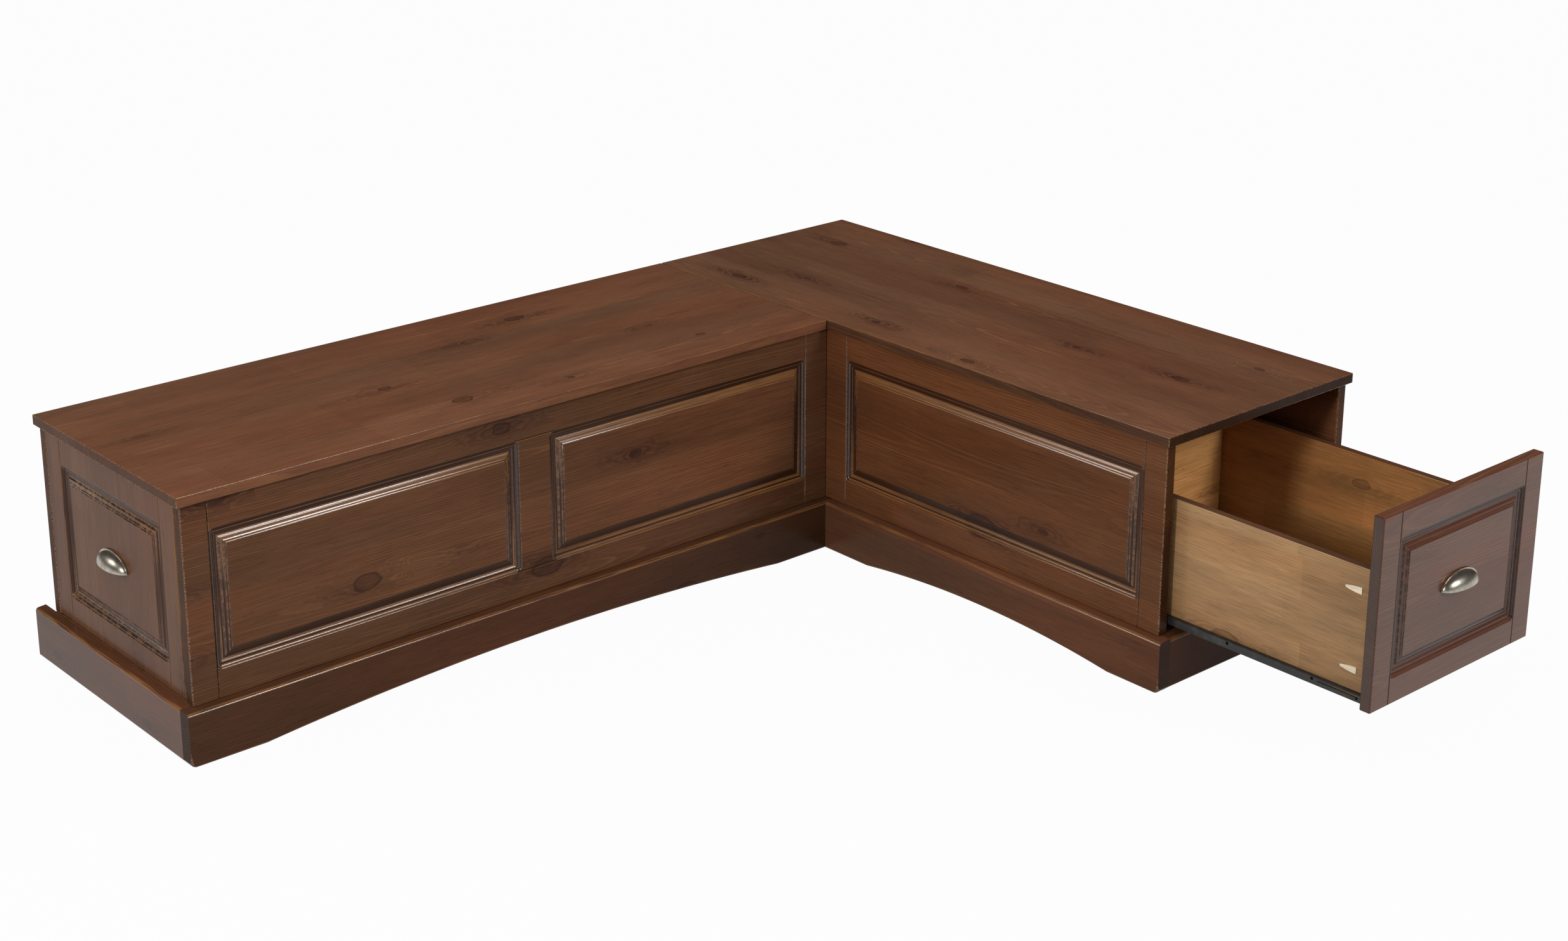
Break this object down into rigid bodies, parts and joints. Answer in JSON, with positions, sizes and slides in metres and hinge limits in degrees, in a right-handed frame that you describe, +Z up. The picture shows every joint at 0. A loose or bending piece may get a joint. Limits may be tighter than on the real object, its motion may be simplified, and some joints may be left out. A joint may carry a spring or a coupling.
{
  "type": "corner storage bench",
  "caption": "L-shaped corner storage bench of dark stained pine: solid seat boards, raised-panel fronts, an arched plinth and long slide-out end drawers with cup pulls.",
  "frame": {"origin": "floor level, centre of the footprint's bounding box with the right drawer open as pictured", "axes": "+Z up; +X along the left seat towards the corner; +Y from the right seat's free end towards the corner's back wall. The left drawer opens along -X and the right drawer along -Y"},
  "size_m": [1.8762, 1.7602, 0.45],
  "materials": {
    "stained_pine": "dark brown stain under satin lacquer",
    "drawer_pine": "honey-brown stain, matt",
    "pale_plug": "bare pale wood",
    "slide_steel": "black satin coating",
    "ball_cage_steel": "zinc plated, lightly greased",
    "aged_nickel": "antique nickel, softly polished"
  },
  "bodies": {
    "bench": {"left_top_board": "stained_pine", "left_front_panel": "stained_pine", "left_back_panel": "stained_pine", "left_inner_end_panel": "stained_pine", "left_divider": "stained_pine", "left_front_top_cleat": "stained_pine", "left_back_top_cleat": "stained_pine", "left_plinth_front": "stained_pine", "left_plinth_end": "stained_pine", "left_base_back_rail": "stained_pine", "left_base_inner_rail": "stained_pine", "left_bottom_board": "stained_pine", "left_slide_front_cabinet_member": "slide_steel", "left_slide_back_cabinet_member": "slide_steel", "right_top_board": "stained_pine", "right_front_panel": "stained_pine", "right_back_panel": "stained_pine", "right_inner_end_panel": "stained_pine", "right_divider": "stained_pine", "right_front_top_cleat": "stained_pine", "right_back_top_cleat": "stained_pine", "right_plinth_front": "stained_pine", "right_plinth_end": "stained_pine", "right_base_back_rail": "stained_pine", "right_base_inner_rail": "stained_pine", "right_bottom_board": "stained_pine", "right_slide_front_cabinet_member": "slide_steel", "right_slide_back_cabinet_member": "slide_steel", "right_base_corner_rail": "stained_pine"},
    "left_drawer": {"left_drawer_front": "stained_pine", "left_drawer_front_plug_low": "pale_plug", "left_drawer_front_plug_high": "pale_plug", "left_drawer_front_side": "drawer_pine", "left_drawer_back_plug_low": "pale_plug", "left_drawer_back_plug_high": "pale_plug", "left_drawer_back_side": "drawer_pine", "left_drawer_back": "drawer_pine", "left_drawer_bottom": "drawer_pine", "left_slide_front_drawer_member": "slide_steel", "left_slide_back_drawer_member": "slide_steel", "left_cup_pull": "aged_nickel"},
    "left_ball_cages": {"left_slide_front_ball_cage": "ball_cage_steel", "left_slide_back_ball_cage": "ball_cage_steel"},
    "right_drawer": {"right_drawer_front": "stained_pine", "right_drawer_front_plug_low": "pale_plug", "right_drawer_front_plug_high": "pale_plug", "right_drawer_front_side": "drawer_pine", "right_drawer_back_plug_low": "pale_plug", "right_drawer_back_plug_high": "pale_plug", "right_drawer_back_side": "drawer_pine", "right_drawer_back": "drawer_pine", "right_drawer_bottom": "drawer_pine", "right_slide_front_drawer_member": "slide_steel", "right_slide_back_drawer_member": "slide_steel", "right_cup_pull": "aged_nickel"},
    "right_ball_cages": {"right_slide_front_ball_cage": "ball_cage_steel", "right_slide_back_ball_cage": "ball_cage_steel"}
  },
  "joints": [
    {"name": "left_drawer_slide", "type": "slide", "parent": "bench", "child": "left_drawer", "axis": [-1, 0, 0], "range_m": [0, 0.45]},
    {"name": "left_ball_cage_slide", "type": "slide", "parent": "bench", "child": "left_ball_cages", "axis": [-1, 0, 0], "range_m": [0, 0.225]},
    {"name": "right_drawer_slide", "type": "slide", "parent": "bench", "child": "right_drawer", "axis": [0, -1, 0], "range_m": [-0.406, 0.044]},
    {"name": "right_ball_cage_slide", "type": "slide", "parent": "bench", "child": "right_ball_cages", "axis": [0, -1, 0], "range_m": [-0.203, 0.022]}
  ],
  "couplings": [
    {"joint": "left_ball_cage_slide", "follows": "left_drawer_slide", "ratio": 0.5},
    {"joint": "right_ball_cage_slide", "follows": "right_drawer_slide", "ratio": 0.5}
  ]
}
